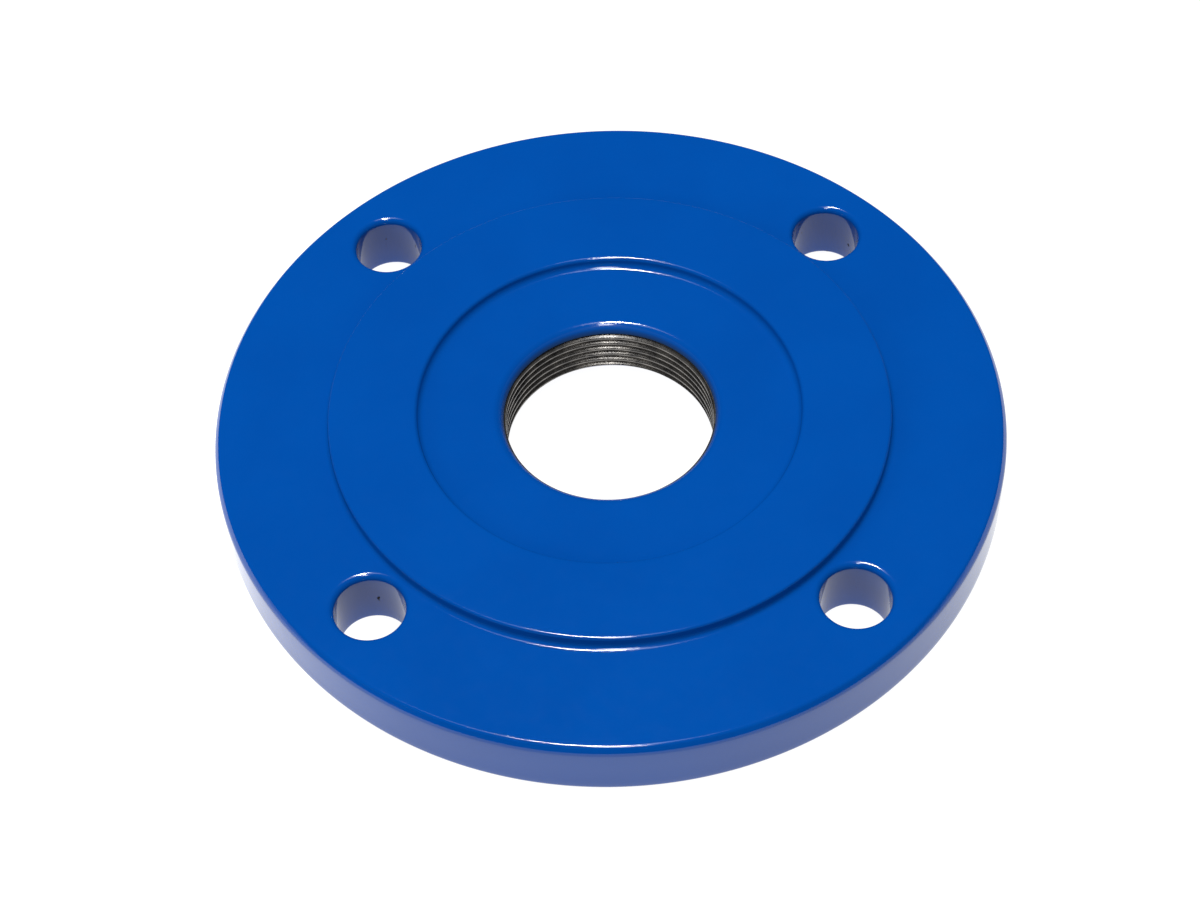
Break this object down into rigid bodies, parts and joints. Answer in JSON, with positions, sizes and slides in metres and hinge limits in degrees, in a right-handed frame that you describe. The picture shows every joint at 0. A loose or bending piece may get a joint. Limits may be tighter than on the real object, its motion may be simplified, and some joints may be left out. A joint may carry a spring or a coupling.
{
  "type": "tapped blind flange",
  "caption": "Round coated iron pipe flange: raised annular gasket face, recessed centre with a tapped through hole, and bolt holes through the outer zone.",
  "frame": {"origin": "centre of the back face, where the flange's axis meets the surface that it lies on", "axes": "+Z along the flange's axis, from the back face towards the raised gasket face; the bolt holes stand at 45 degrees between X and Y"},
  "size_m": [0.216, 0.216, 0.0222],
  "materials": {
    "ductile_iron": "bare machined",
    "blue_epoxy": "gloss"
  },
  "bodies": {
    "root": {"flange_casting": "ductile_iron", "epoxy_coating": "blue_epoxy"}
  },
  "joints": []
}
